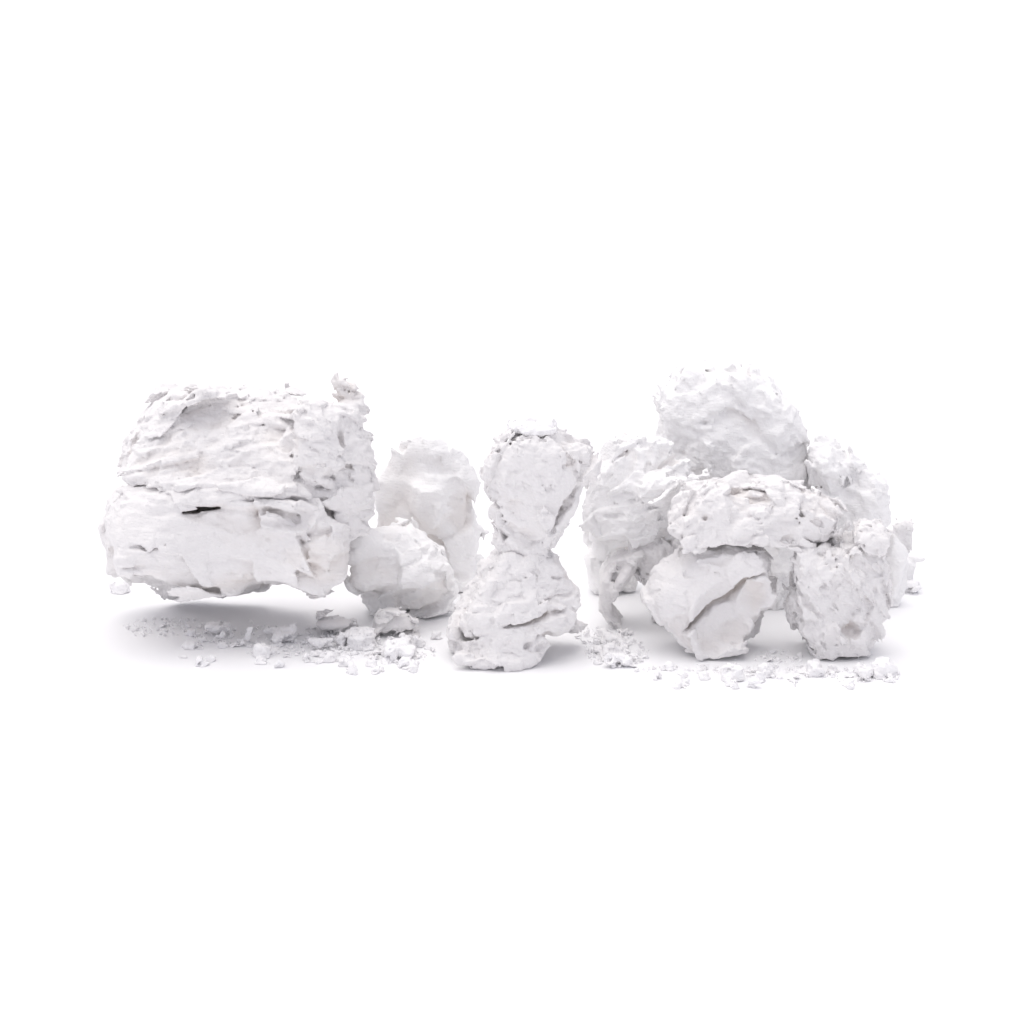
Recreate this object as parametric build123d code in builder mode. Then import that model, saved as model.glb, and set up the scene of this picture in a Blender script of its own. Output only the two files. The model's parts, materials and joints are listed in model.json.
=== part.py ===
"""A pressed gymnastics chalk block, broken into a heap of lumps, leaves and crumbs.

Frame: X along the heap, Y away from its front, Z up. The origin is the middle of the heap's footprint, on
the surface that it lies on. Millimetres.

Each lump is a ruled loft through broken cross-sections. A list of levels, from the bottom up, says how much
of the lump's length and depth each cross-section takes, and a seeded ring of corners breaks its outline.
Lumps that part along a pressing layer or a crack share that plane, so they meet face to face.
"""

import math
import os
import random

from build123d import *

# ---------------------------------------------------------------------------- spacing
rest_gap = 0.3  # under a lump that lies on another
loose_gap = 0.6  # between lumps that stand side by side
heap_left = -77.2  # left end of the heap
front_row_back = -4.5  # plane that the front row of lumps backs onto

# ---------------------------------------------------------------------------- large lump
large_length = 46.0
large_depth = 40.0
large_seat_climb = 15.0  # degrees that the underside climbs from its heel to the front
large_base_height = 20.7
large_base_tilt = (5.0, 8.0)  # of the layer on top of the base: dip to the right, climb to the front
large_band_height = 5.0
large_band_inset = 2.5
large_band_setback = 3.5
large_band_tilt = (6.0, 6.0)
large_upper_height = 11.0
large_upper_inset = 4.0
large_upper_setback = 6.5
large_upper_tilt = (2.0, -6.0)
large_crest_length = 21.0
large_crest_depth = 17.0
large_crest_height = 3.2
large_crest_inset = 12.0
large_crest_setback = 18.0
large_sliver_length = 21.0  # before the crack cuts it
large_sliver_reach = 7.4  # of the sliver beyond the base's right end
large_sliver_depth = 25.0
large_sliver_height = 28.0
large_crack_inset = 1.5  # from the base's right end, where the crack meets the base's top
large_crack_lean = 4.0  # degrees that the crack beside the sliver leans to the left

# ---------------------------------------------------------------------------- left group
prop_length = 20.7
prop_depth = 21.0
prop_height = 18.6
prop_front = -2.5
prop_foot_front = 4.0
prop_clearance = 0.7  # between the large lump's base and the prop lump's foot
prop_headroom = 0.4  # between the prop lump's top and the sliver that it carries
rubble_left_size = (10.0, 9.0, 4.0)
rubble_left_inset = 39.0
rubble_right_size = (11.0, 8.5, 5.2)
rubble_room = 1.6  # between the rubble and the prop lump's foot
rear_left_length = 23.6
rear_left_depth = 12.7
rear_left_height = 30.8
rear_left_inset = 2.0
rear_leaf_size = (9.0, 2.6, 12.0)
rear_leaf_height = 11.0  # of the leaf's lower edge above the surface
rear_leaf_inset = 8.0
rear_leaf_bite = 1.4  # how far the broken face that the leaf clings to is set into the lump

# ---------------------------------------------------------------------------- middle group
middle_length = 26.6
middle_depth = 19.5
middle_height = 15.0
middle_lap = 3.2  # how far the middle lump reaches past the prop lump's right end
sheet_length = 18.5
sheet_depth = 17.0
sheet_overhang = 0.8  # of the bottom sheet beyond the middle lump's front
sheet_thickness = 3.0
shelf_length = 24.0
shelf_depth = 15.0
shelf_thickness = 2.2
standing_length = 19.6
standing_depth = 13.0
standing_height = 20.2
standing_inset = 7.0  # from the middle lump's left end
standing_crack_lean = -14.0  # degrees, negative because it leans to the right going up
standing_crack_at = 11.5  # from the standing lump's left end, at its foot
top_flake_size = (8.6, 6.0, 1.3)
top_flake_inset = 4.6

# ---------------------------------------------------------------------------- right group
gully_width = 7.9  # between the middle lump and the scoop lump
scoop_length = 25.5
scoop_depth = 15.5
hollow_radius = 6.4
hollow_depth = 4.2
hollow_height = 8.5  # of the hollow's middle above the surface
hollow_inset = 15.5  # of the hollow's middle from the scoop lump's left end
rough_length = 18.8
rough_depth = 15.5
bridge_height = 19.6  # of the two lumps that carry the cap slab
rough_cap_size = (6.6, 10.0, 4.8)
cap_length = 32.0
cap_depth = 14.0
cap_height = 11.6
cap_inset = 5.2  # from the scoop lump's left end
right_middle_length = 21.7
right_middle_depth = 11.5
right_middle_height = 20.0
right_middle_lap = 1.9  # how far it reaches back past the middle lump's right end
right_middle_setback = 3.6
arch_height = 14.4
arch_shell_thickness = 1.9
arch_shell_length = 7.4  # from the belly's left side to the top's left side
arch_shell_inset = 3.4
arch_shell_foot_inset = 3.3  # of the foot from the shell's left side
arch_belly_height = 6.5  # where the shell stands furthest left
arch_core_length = 9.5
leaf_size = (11.5, 3.2, 7.0)
leaf_height = 22.6  # of the leaf's lower edge above the surface
leaf_inset = 9.6
leaf_bite = 1.0  # how far the broken face that the leaf clings to is set into the lump
tall_length = 30.8
tall_depth = 21.0
tall_height = 46.9
tall_inset = 12.7  # from the right middle lump's left end
rear_length = 11.5
rear_depth = 12.0
rear_height = 37.5
shoulder_length = 11.3
shoulder_depth = 13.5
shoulder_height = 31.2
edge_upper_size = (6.6, 8.5, 16.0)
edge_lower_size = (7.6, 7.6, 6.8)
edge_chip_size = (3.4, 2.4, 5.6)
edge_flake_size = (6.0, 4.8, 2.4)
edge_step = 1.8  # of the edge's lower lump to the right of its upper lump
edge_flake_step = 3.2  # of the flake between them, the same way

# ---------------------------------------------------------------------------- crumbs
crumb_least = 0.9
crumb_most = 2.1
crumb_flattest = 0.45  # a crumb's height as a share of its width
crumb_tallest = 0.8
crumb_taper = 18.0
crumb_gap = 0.15
crumb_reach = 14.5  # how far the crumbs lie ahead of the scoop lump
crumbs_left_inset = 16.0

LEVEL = (0.0, 0.0)  # dip to the right and climb to the front, in degrees
FLAT = (LEVEL, LEVEL)  # a lump's bottom and top layers
CHIPPING = 0.16  # how far a corner may be knocked in, as a share of its reach

BOULDER = [
    (0.0, 0.1, 0.9, 0.1, 0.9),
    (0.2, 0.0, 0.98, 0.0, 1.0),
    (0.6, 0.02, 1.0, 0.04, 0.97),
    (1.0, 0.2, 0.78, 0.2, 0.8),
]
SLAB = [
    (0.0, 0.04, 0.97, 0.03, 0.96),
    (0.5, 0.0, 1.0, 0.0, 1.0),
    (1.0, 0.05, 0.94, 0.06, 0.95),
]
BLOCKY = [
    (0.0, 0.06, 0.95, 0.08, 0.94),
    (0.3, 0.0, 1.0, 0.0, 1.0),
    (0.8, 0.03, 0.98, 0.02, 1.0),
    (1.0, 0.06, 0.93, 0.08, 0.95),
]

os.makedirs("parts", exist_ok=True)
taken = []  # left, front, right and back of the ground under each piece, for the crumbs to keep off


def keep_part(part, label):
    """Labels a finished piece and writes it as its own STEP file."""
    part.label = label
    export_step(part, f"parts/{label}.step")


def tilted(point, tilt):
    """A plane through point with the given dip to the right and climb to the front."""
    fall, climb = math.tan(math.radians(tilt[0])), math.tan(math.radians(tilt[1]))
    return Plane(origin=point, x_dir=(1, 0, -fall), z_dir=(fall, climb, 1))


def crack_plane(x, z, lean):
    """A crack across the heap through x, z that faces right and leans to the left going up."""
    facing = (math.cos(math.radians(lean)), 0, math.sin(math.radians(lean)))
    return Plane(origin=(x, 0, z), x_dir=(0, 1, 0), z_dir=facing)


def unit_ring(corners, chance):
    """The corners of a broken outline round the origin, anticlockwise."""
    ring = []
    for n in range(corners):
        turn = (n + chance.uniform(-0.28, 0.28)) * 2 * math.pi / corners
        reach = chance.uniform(0.88, 1.0) / max(abs(math.cos(turn)), abs(math.sin(turn))) ** 0.6
        ring.append((reach * math.cos(turn), reach * math.sin(turn)))
    return ring


def fitted(ring, left, right, front, back):
    """The ring stretched so that it just fills the given sides."""
    low_u, high_u = min(u for u, _ in ring), max(u for u, _ in ring)
    low_v, high_v = min(v for _, v in ring), max(v for _, v in ring)
    across, along = (right - left) / (high_u - low_u), (back - front) / (high_v - low_v)
    return [(left + (u - low_u) * across, front + (v - low_v) * along) for u, v in ring]


def cross_sections(size, place, levels, seed, tilts, about, corners):
    """Yields the plane and the corner points of each level of a lump. Its planes tilt about one point."""
    (length, depth, height), (left, front, bottom) = size, place
    pivot_x, pivot_y = about or (left + length / 2, front + depth / 2)
    chance = random.Random(seed)
    ring = unit_ring(corners, chance)
    for rise, x_low, x_high, y_low, y_high in levels:
        knocks = [1 - chance.uniform(0, CHIPPING) for _ in ring]
        chipped = [(u * knock, v * knock) for (u, v), knock in zip(ring, knocks)]
        tilt = [low + (high - low) * rise for low, high in zip(*tilts)]
        start_x, start_y = left - pivot_x, front - pivot_y
        x_sides = (start_x + x_low * length, start_x + x_high * length)
        y_sides = (start_y + y_low * depth, start_y + y_high * depth)
        yield tilted((pivot_x, pivot_y, bottom + rise * height), tilt), fitted(chipped, *x_sides, *y_sides)


def broken_lump(size, place, levels, seed, tilts=FLAT, about=None, ahead_of=None, behind=None, corners=9):
    """A lump lofted through its levels, and cut to what is ahead of or behind a crack if one is given."""
    with BuildPart() as lump:
        for plane, points in cross_sections(size, place, levels, seed, tilts, about, corners):
            with BuildSketch(plane):
                with BuildLine():
                    Polyline(*points, close=True)
                make_face()
        loft(ruled=True)
        if ahead_of:
            split(bisect_by=ahead_of, keep=Keep.TOP)
        if behind:
            split(bisect_by=behind, keep=Keep.BOTTOM)
    return lump.part


def leaf(face, left, low, size, seed):
    """An upright leaf of the given length, thickness and height that stands ahead of a face."""
    length, thickness, height = size
    ring = fitted(unit_ring(7, random.Random(seed)), left, left + length, low, low + height)
    with BuildPart() as flat_leaf:
        with BuildSketch(face):
            with BuildLine():
                Polyline(*ring, close=True)
            make_face()
        extrude(amount=thickness)
    return flat_leaf.part


def stand(size, place, label, levels, seed, corners=9):
    """Makes a lump that stands on the surface, and notes the ground that it takes."""
    keep_part(broken_lump(size, place, levels, seed, corners=corners), label)
    taken.append((place[0], place[1], place[0] + size[0], place[1] + size[1]))


# ============================================================================ large lump
large_right = heap_left + large_length
large_front = -large_depth / 2
large_pivot = (heap_left + large_length / 2, 0)
large_seat = rest_gap + large_depth / 2 * math.tan(math.radians(large_seat_climb))
large_ledge = large_seat + large_base_height
large_upper_bottom = large_ledge + large_band_height
large_upper_top = large_upper_bottom + large_upper_height
large_crack = crack_plane(large_right - large_crack_inset, large_ledge, large_crack_lean)
large_seat_tilt = (0.0, large_seat_climb)

BASE_LEVELS = [
    (0.0, 0.07, 0.92, 0.1, 0.95),
    (0.12, 0.02, 0.98, 0.02, 1.0),
    (0.45, 0.0, 1.0, 0.0, 0.98),
    (0.8, 0.03, 0.99, 0.03, 0.96),
    (1.0, 0.08, 0.97, 0.08, 0.92),
]
UPPER_LEVELS = [
    (0.0, 0.02, 1.0, 0.0, 1.0),
    (0.35, 0.05, 0.97, 0.04, 0.97),
    (0.75, 0.1, 0.96, 0.16, 0.93),
    (1.0, 0.16, 0.9, 0.3, 0.88),
]
CREST_LEVELS = [
    (0.0, 0.0, 1.0, 0.0, 1.0),
    (0.6, 0.06, 0.9, 0.12, 0.9),
    (1.0, 0.25, 0.7, 0.3, 0.75),
]
SLIVER_LEVELS = [
    (0.0, 0.0, 0.9, 0.08, 0.9),
    (0.28, 0.0, 1.0, 0.0, 1.0),
    (0.6, 0.0, 0.92, 0.03, 0.94),
    (0.84, 0.1, 0.8, 0.16, 0.8),
    (1.0, 0.6, 0.74, 0.4, 0.6),
]

large_base = broken_lump(
    (large_length, large_depth, large_base_height),
    (heap_left, large_front, large_seat),
    BASE_LEVELS,
    seed=11,
    tilts=(large_seat_tilt, large_base_tilt),
    about=large_pivot,
    behind=large_crack,
    corners=13,
)
keep_part(large_base, "large_lump_base")

large_band = broken_lump(
    (large_length - large_band_inset, large_depth - large_band_setback, large_band_height),
    (heap_left + large_band_inset, large_front + large_band_setback, large_ledge),
    SLAB,
    seed=12,
    tilts=(large_base_tilt, large_band_tilt),
    about=large_pivot,
    behind=large_crack,
    corners=13,
)
keep_part(large_band, "large_lump_band")

large_upper = broken_lump(
    (large_length - large_upper_inset, large_depth - large_upper_setback, large_upper_height),
    (heap_left + large_upper_inset, large_front + large_upper_setback, large_upper_bottom),
    UPPER_LEVELS,
    seed=13,
    tilts=(large_band_tilt, large_upper_tilt),
    about=large_pivot,
    behind=large_crack,
    corners=13,
)
keep_part(large_upper, "large_lump_upper")

large_crest = broken_lump(
    (large_crest_length, large_crest_depth, large_crest_height),
    (heap_left + large_crest_inset, large_front + large_crest_setback, large_upper_top),
    CREST_LEVELS,
    seed=14,
    tilts=(large_upper_tilt, large_upper_tilt),
    about=large_pivot,
)
keep_part(large_crest, "large_lump_crest")

sliver_bottom = prop_height + prop_headroom
large_sliver = broken_lump(
    (large_sliver_length, large_sliver_depth, large_sliver_height),
    (large_right + large_sliver_reach - large_sliver_length, -large_sliver_depth / 2, sliver_bottom),
    SLIVER_LEVELS,
    seed=15,
    ahead_of=large_crack,
)
keep_part(large_sliver, "large_lump_sliver")

# ============================================================================ left group
prop_foot = (prop_foot_front - prop_front) / prop_depth
PROP_LEVELS = [
    (0.0, 0.14, 0.92, prop_foot + 0.05, 0.96),
    (0.2, 0.04, 1.0, prop_foot, 1.0),
    (0.42, 0.0, 1.0, 0.04, 0.99),
    (0.55, 0.0, 0.97, 0.0, 0.97),
    (0.8, 0.06, 0.8, 0.1, 0.92),
    (1.0, 0.14, 0.6, 0.25, 0.84),
]
prop_left = large_right + prop_clearance
prop_right = prop_left + prop_length
prop_place = (prop_left, prop_front, 0)
stand((prop_length, prop_depth, prop_height), prop_place, "prop_lump", PROP_LEVELS, seed=21, corners=11)

rubble_left_place = (heap_left + rubble_left_inset, prop_foot_front - rubble_room - rubble_left_size[1], 0)
stand(rubble_left_size, rubble_left_place, "rubble_left", BOULDER, seed=22)
rubble_right_x = rubble_left_place[0] + rubble_left_size[0] + loose_gap
rubble_right_place = (rubble_right_x, prop_foot_front - rubble_room - rubble_right_size[1], 0)
stand(rubble_right_size, rubble_right_place, "rubble_right", BOULDER, seed=23)

REAR_LEFT_LEVELS = [
    (0.0, 0.06, 0.96, 0.0, 0.95),
    (0.3, 0.0, 1.0, 0.0, 1.0),
    (0.7, 0.04, 0.96, 0.0, 0.95),
    (0.9, 0.16, 0.78, 0.08, 0.9),
    (1.0, 0.24, 0.6, 0.2, 0.8),
]
rear_left_place = (prop_left + rear_left_inset, prop_front + prop_depth + rear_leaf_size[1] + loose_gap, 0)
rear_left_face = Plane.XZ.offset(-rear_left_place[1] - rear_leaf_bite)
rear_left = broken_lump(
    (rear_left_length, rear_left_depth, rear_left_height),
    rear_left_place,
    REAR_LEFT_LEVELS,
    seed=24,
    behind=rear_left_face,
    corners=11,
)
keep_part(rear_left, "rear_left_lump")
rear_leaf_left = rear_left_place[0] + rear_leaf_inset
keep_part(leaf(rear_left_face, rear_leaf_left, rear_leaf_height, rear_leaf_size, seed=25), "rear_left_leaf")

# ============================================================================ middle group
MIDDLE_LEVELS = [
    (0.0, 0.04, 0.9, 0.0, 0.97),
    (0.2, 0.0, 0.96, 0.02, 1.0),
    (0.4, 0.03, 1.0, 0.08, 0.99),
    (0.62, 0.12, 0.92, 0.16, 0.96),
    (0.85, 0.26, 0.78, 0.22, 0.86),
    (1.0, 0.3, 0.72, 0.3, 0.8),
]
middle_left = prop_right - middle_lap
middle_right = middle_left + middle_length
middle_front = front_row_back - middle_depth
middle_bottom = sheet_thickness + shelf_thickness
middle_top = middle_bottom + middle_height

sheet_place = (middle_left, middle_front - sheet_overhang, 0)
sheet_size = (sheet_length, sheet_depth, sheet_thickness)
stand(sheet_size, sheet_place, "middle_bottom_sheet", SLAB, seed=31, corners=11)
taken.append((middle_left, middle_front, middle_right, front_row_back))

shelf_place = (middle_right - shelf_length, front_row_back - shelf_depth - loose_gap, sheet_thickness)
shelf = broken_lump((shelf_length, shelf_depth, shelf_thickness), shelf_place, SLAB, seed=32, corners=11)
keep_part(shelf, "middle_shelf")

middle_lump = broken_lump(
    (middle_length, middle_depth, middle_height),
    (middle_left, middle_front, middle_bottom),
    MIDDLE_LEVELS,
    seed=33,
    corners=11,
)
keep_part(middle_lump, "middle_lump")

STANDING_LEVELS = [
    (0.0, 0.22, 0.7, 0.25, 0.75),
    (0.18, 0.12, 0.78, 0.12, 0.86),
    (0.45, 0.0, 0.94, 0.0, 1.0),
    (0.72, 0.03, 1.0, 0.02, 0.98),
    (0.9, 0.14, 0.98, 0.1, 0.9),
    (1.0, 0.22, 0.74, 0.25, 0.8),
]
standing_left = middle_left + standing_inset
standing_bottom = middle_top + rest_gap
standing_size = (standing_length, standing_depth, standing_height)
standing_place = (standing_left, front_row_back - middle_depth / 2 - standing_depth / 2, standing_bottom)
standing_crack = crack_plane(standing_left + standing_crack_at, standing_bottom, standing_crack_lean)
standing = broken_lump(standing_size, standing_place, STANDING_LEVELS, seed=34, behind=standing_crack)
keep_part(standing, "standing_lump")
wedge = broken_lump(standing_size, standing_place, STANDING_LEVELS, seed=34, ahead_of=standing_crack)
keep_part(wedge, "standing_wedge")

top_flake_place = (
    standing_left + top_flake_inset,
    standing_place[1] + (standing_depth - top_flake_size[1]) / 2,
    standing_bottom + standing_height + rest_gap,
)
keep_part(broken_lump(top_flake_size, top_flake_place, SLAB, seed=35), "top_flake")

# ============================================================================ right group, front
SCOOP_LEVELS = [
    (0.0, 0.14, 0.92, 0.05, 0.94),
    (0.15, 0.02, 0.98, 0.0, 1.0),
    (0.5, 0.0, 1.0, 0.0, 1.0),
    (0.8, 0.08, 0.98, 0.06, 0.98),
    (1.0, 0.26, 0.94, 0.1, 0.94),
]
ROUGH_LEVELS = [
    (0.0, 0.16, 0.8, 0.06, 0.92),
    (0.2, 0.04, 0.94, 0.0, 1.0),
    (0.5, 0.0, 1.0, 0.0, 1.0),
    (0.8, 0.02, 0.98, 0.02, 0.98),
    (1.0, 0.06, 0.92, 0.06, 0.94),
]
scoop_left = middle_right + gully_width
scoop_size = (scoop_length, scoop_depth, bridge_height)
scoop_place = (scoop_left, front_row_back - scoop_depth, 0)
hollow_middle = (scoop_left + hollow_inset, scoop_place[1] - hollow_radius + hollow_depth, hollow_height)
with BuildPart() as scoop:
    add(broken_lump(scoop_size, scoop_place, SCOOP_LEVELS, seed=41, corners=11))
    with Locations(hollow_middle):
        Sphere(hollow_radius, mode=Mode.SUBTRACT)
keep_part(scoop.part, "scoop_lump")
taken.append((scoop_left, scoop_place[1], scoop_left + scoop_length, front_row_back))

rough_left = scoop_left + scoop_length + loose_gap
rough_place = (rough_left, front_row_back - rough_depth, 0)
rough_size = (rough_length, rough_depth, bridge_height)
stand(rough_size, rough_place, "rough_lump", ROUGH_LEVELS, seed=42, corners=11)

CAP_LEVELS = [
    (0.0, 0.06, 0.94, 0.08, 0.95),
    (0.25, 0.0, 0.99, 0.0, 1.0),
    (0.6, 0.02, 1.0, 0.06, 1.0),
    (0.85, 0.06, 0.9, 0.2, 0.94),
    (1.0, 0.16, 0.66, 0.35, 0.88),
]
cap_left = scoop_left + cap_inset
cap_place = (cap_left, front_row_back - cap_depth - loose_gap, bridge_height + rest_gap)
cap_slab = broken_lump((cap_length, cap_depth, cap_height), cap_place, CAP_LEVELS, seed=43, corners=13)
keep_part(cap_slab, "cap_slab")

rough_cap_place = (cap_left + cap_length + loose_gap, rough_place[1] + loose_gap, bridge_height)
rough_cap = broken_lump(rough_cap_size, rough_cap_place, BOULDER, seed=44)
keep_part(rough_cap, "rough_lump_cap")

# ============================================================================ right group, middle row
RIGHT_MIDDLE_LEVELS = [
    (0.0, 0.06, 0.9, 0.06, 0.95),
    (0.25, 0.0, 0.97, 0.0, 1.0),
    (0.6, 0.02, 1.0, 0.02, 1.0),
    (0.85, 0.1, 0.9, 0.1, 0.92),
    (1.0, 0.2, 0.76, 0.2, 0.8),
]
right_middle_left = middle_right - right_middle_lap
right_middle_front = front_row_back + right_middle_setback
back_row_front = right_middle_front + right_middle_depth + loose_gap
right_middle_face = Plane.XZ.offset(-right_middle_front - leaf_bite)
right_middle = broken_lump(
    (right_middle_length, right_middle_depth, right_middle_height),
    (right_middle_left, right_middle_front, arch_height + rest_gap),
    RIGHT_MIDDLE_LEVELS,
    seed=51,
    behind=right_middle_face,
    corners=11,
)
keep_part(right_middle, "right_middle_lump")
leaf_left = right_middle_left + leaf_inset
keep_part(leaf(right_middle_face, leaf_left, leaf_height, leaf_size, seed=53), "right_middle_leaf")

# the shell is an upright band of an arc that opens to the right
arch_depth = right_middle_depth - 2 * loose_gap
arch_shell_left = right_middle_left + arch_shell_inset
arch_shell_top = arch_shell_left + arch_shell_length
arch_shell_foot = arch_shell_left + arch_shell_foot_inset
with BuildPart() as arch_shell:
    with BuildSketch(Plane.XZ.offset(-right_middle_front - loose_gap - arch_depth)):
        with BuildLine():
            belly = Vector(arch_shell_left, arch_belly_height)
            foot, top = Vector(arch_shell_foot, 0), Vector(arch_shell_top, arch_height)
            wall = Vector(arch_shell_thickness, 0)
            ThreePointArc(foot, belly, top)
            Line(top, top + wall)
            ThreePointArc(top + wall, belly + wall, foot + wall)
            Line(foot + wall, foot)
        make_face()
    extrude(amount=arch_depth)
keep_part(arch_shell.part, "arch_shell")
taken.append((arch_shell_left, right_middle_front, arch_shell_top + arch_shell_thickness, back_row_front))

arch_core_place = (arch_shell_top + arch_shell_thickness + loose_gap, right_middle_front + loose_gap, 0)
stand((arch_core_length, arch_depth, arch_height), arch_core_place, "arch_core", BLOCKY, seed=52)

# ============================================================================ right group, back row
TALL_LEVELS = [
    (0.0, 0.06, 0.96, 0.04, 0.94),
    (0.3, 0.0, 1.0, 0.0, 1.0),
    (0.62, 0.0, 0.98, 0.02, 0.98),
    (0.78, 0.03, 0.92, 0.06, 0.94),
    (0.9, 0.1, 0.8, 0.14, 0.86),
    (1.0, 0.24, 0.52, 0.24, 0.76),
]
REAR_LEVELS = [
    (0.0, 0.04, 0.96, 0.04, 0.96),
    (0.5, 0.0, 1.0, 0.0, 1.0),
    (0.8, 0.2, 1.0, 0.1, 0.9),
    (1.0, 0.5, 0.9, 0.3, 0.7),
]
SLOPE_LEVELS = [
    (0.0, 0.0, 0.97, 0.04, 0.96),
    (0.4, 0.0, 1.0, 0.0, 1.0),
    (0.7, 0.0, 0.86, 0.06, 0.94),
    (1.0, 0.03, 0.45, 0.2, 0.8),
]
tall_left = right_middle_left + tall_inset
tall_right = tall_left + tall_length
tall_place = (tall_left, back_row_front, 0)
stand((tall_length, tall_depth, tall_height), tall_place, "tall_lump", TALL_LEVELS, seed=61, corners=13)

rear_place = (tall_left - loose_gap - rear_length, back_row_front + tall_depth - rear_depth, 0)
stand((rear_length, rear_depth, rear_height), rear_place, "rear_lump", REAR_LEVELS, seed=62)

shoulder_place = (tall_right + loose_gap, back_row_front + loose_gap, 0)
shoulder_size = (shoulder_length, shoulder_depth, shoulder_height)
stand(shoulder_size, shoulder_place, "shoulder_lump", SLOPE_LEVELS, seed=63)

# ============================================================================ right edge
edge_left = shoulder_place[0] + shoulder_length + loose_gap
edge_front = back_row_front + loose_gap
stand(edge_upper_size, (edge_left, edge_front, 0), "edge_upper_lump", SLOPE_LEVELS, seed=71)

edge_flake_place = (edge_left + edge_flake_step, edge_front + edge_upper_size[1] + loose_gap, 0)
stand(edge_flake_size, edge_flake_place, "edge_floor_flake", SLAB, seed=74)

edge_lower_place = (edge_left + edge_step, edge_flake_place[1] + edge_flake_size[1] + loose_gap, 0)
stand(edge_lower_size, edge_lower_place, "edge_lower_lump", BLOCKY, seed=72)

edge_chip_x = edge_lower_place[0] + (edge_lower_size[0] - edge_chip_size[0]) / 2
edge_chip_y = edge_lower_place[1] + (edge_lower_size[1] - edge_chip_size[1]) / 2
edge_chip_place = (edge_chip_x, edge_chip_y, edge_lower_size[2])
keep_part(broken_lump(edge_chip_size, edge_chip_place, BLOCKY, seed=73), "edge_chip")

# ============================================================================ loose on the surface
# label, place from the anchor (left, front), size
LEFT_FLAKES = [
    ("left_flake_broad", (20.0, -8.6), (9.6, 11.0, 2.8)),
    ("left_flake_middle", (30.2, -11.2), (8.0, 8.6, 2.6)),
    ("left_pebble", (31.0, -16.6), (2.4, 2.4, 1.9)),
    ("left_flake_small", (39.8, -14.2), (6.4, 7.4, 3.0)),
    ("left_flake_inner", (46.8, -12.2), (5.0, 5.6, 2.6)),
    ("left_flake_thick", (52.4, -19.6), (7.2, 9.0, 4.0)),
    ("left_chip", (57.2, -23.0), (2.4, 2.2, 1.4)),
    ("far_left_pebble", (1.0, 24.0), (2.6, 2.4, 2.0)),
]
RIGHT_FLAKES = [
    ("gully_flake", (-6.4, -5.0), (5.8, 5.6, 2.4)),
    ("front_pebble", (14.2, -10.6), (3.4, 3.4, 1.8)),
    ("front_flat_flake", (19.6, -8.4), (8.8, 5.2, 1.6)),
    ("front_chip", (29.0, -7.6), (2.8, 2.6, 1.5)),
    ("corner_flake", (34.6, -10.8), (5.4, 5.2, 3.0)),
    ("corner_chip", (40.6, -8.2), (3.8, 3.6, 2.2)),
]
for number, (label, (across, along), size) in enumerate(LEFT_FLAKES):
    stand(size, (heap_left + across, along, 0), label, SLAB, seed=81 + number)
for number, (label, (across, along), size) in enumerate(RIGHT_FLAKES):
    stand(size, (scoop_left + across, scoop_place[1] + along, 0), label, SLAB, seed=91 + number)


def touching(one, other):
    """Whether two patches of ground (left, front, right, back) overlap."""
    return one[0] < other[2] and other[0] < one[2] and one[1] < other[3] and other[1] < one[3]


def scatter(label, field, throws, seed):
    """Throws small crumbs over a field of ground, and leaves out those that land where something lies."""
    left, front, right, back = field
    chance = random.Random(seed)
    with BuildPart() as crumbs:
        for _ in range(throws):
            across = chance.uniform(crumb_least, crumb_most)
            x, y = chance.uniform(left, right - across), chance.uniform(front, back - across)
            ring = fitted(unit_ring(6, chance), x, x + across, y, y + across)
            height = across * chance.uniform(crumb_flattest, crumb_tallest)
            here = (x - crumb_gap, y - crumb_gap, x + across + crumb_gap, y + across + crumb_gap)
            if any(touching(here, other) for other in taken):
                continue
            taken.append(here)
            with BuildSketch():
                with BuildLine():
                    Polyline(*ring, close=True)
                make_face()
            extrude(amount=height, taper=crumb_taper)
    keep_part(crumbs.part, label)


crumbs_front = scoop_place[1] - crumb_reach
right_end = rough_left + rough_length
scatter("crumbs_left", (heap_left + crumbs_left_inset, crumbs_front + 12, large_right, 0), 44, seed=101)
scatter("crumbs_gully", (middle_right, crumbs_front + 8, scoop_left, back_row_front), 60, seed=102)
scatter("crumbs_middle", (large_right, crumbs_front + 8, middle_left, prop_front), 40, seed=103)
scatter("crumbs_right", (scoop_left, crumbs_front, right_end, scoop_place[1]), 44, seed=104)
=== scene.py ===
"""The looks of a gymnastics chalk block that has been broken into a heap of lumps, leaves and crumbs.

Every lump starts from its CAD solids. They become a block of signed distances, in millimetres, that is
then broken as pressed chalk breaks: into leaves along the pressing layers, with cracks between them, chips
off the edges and grain all over. The broken block is turned back into a mesh, which stands for the solids.
"""

import json
import math

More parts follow.
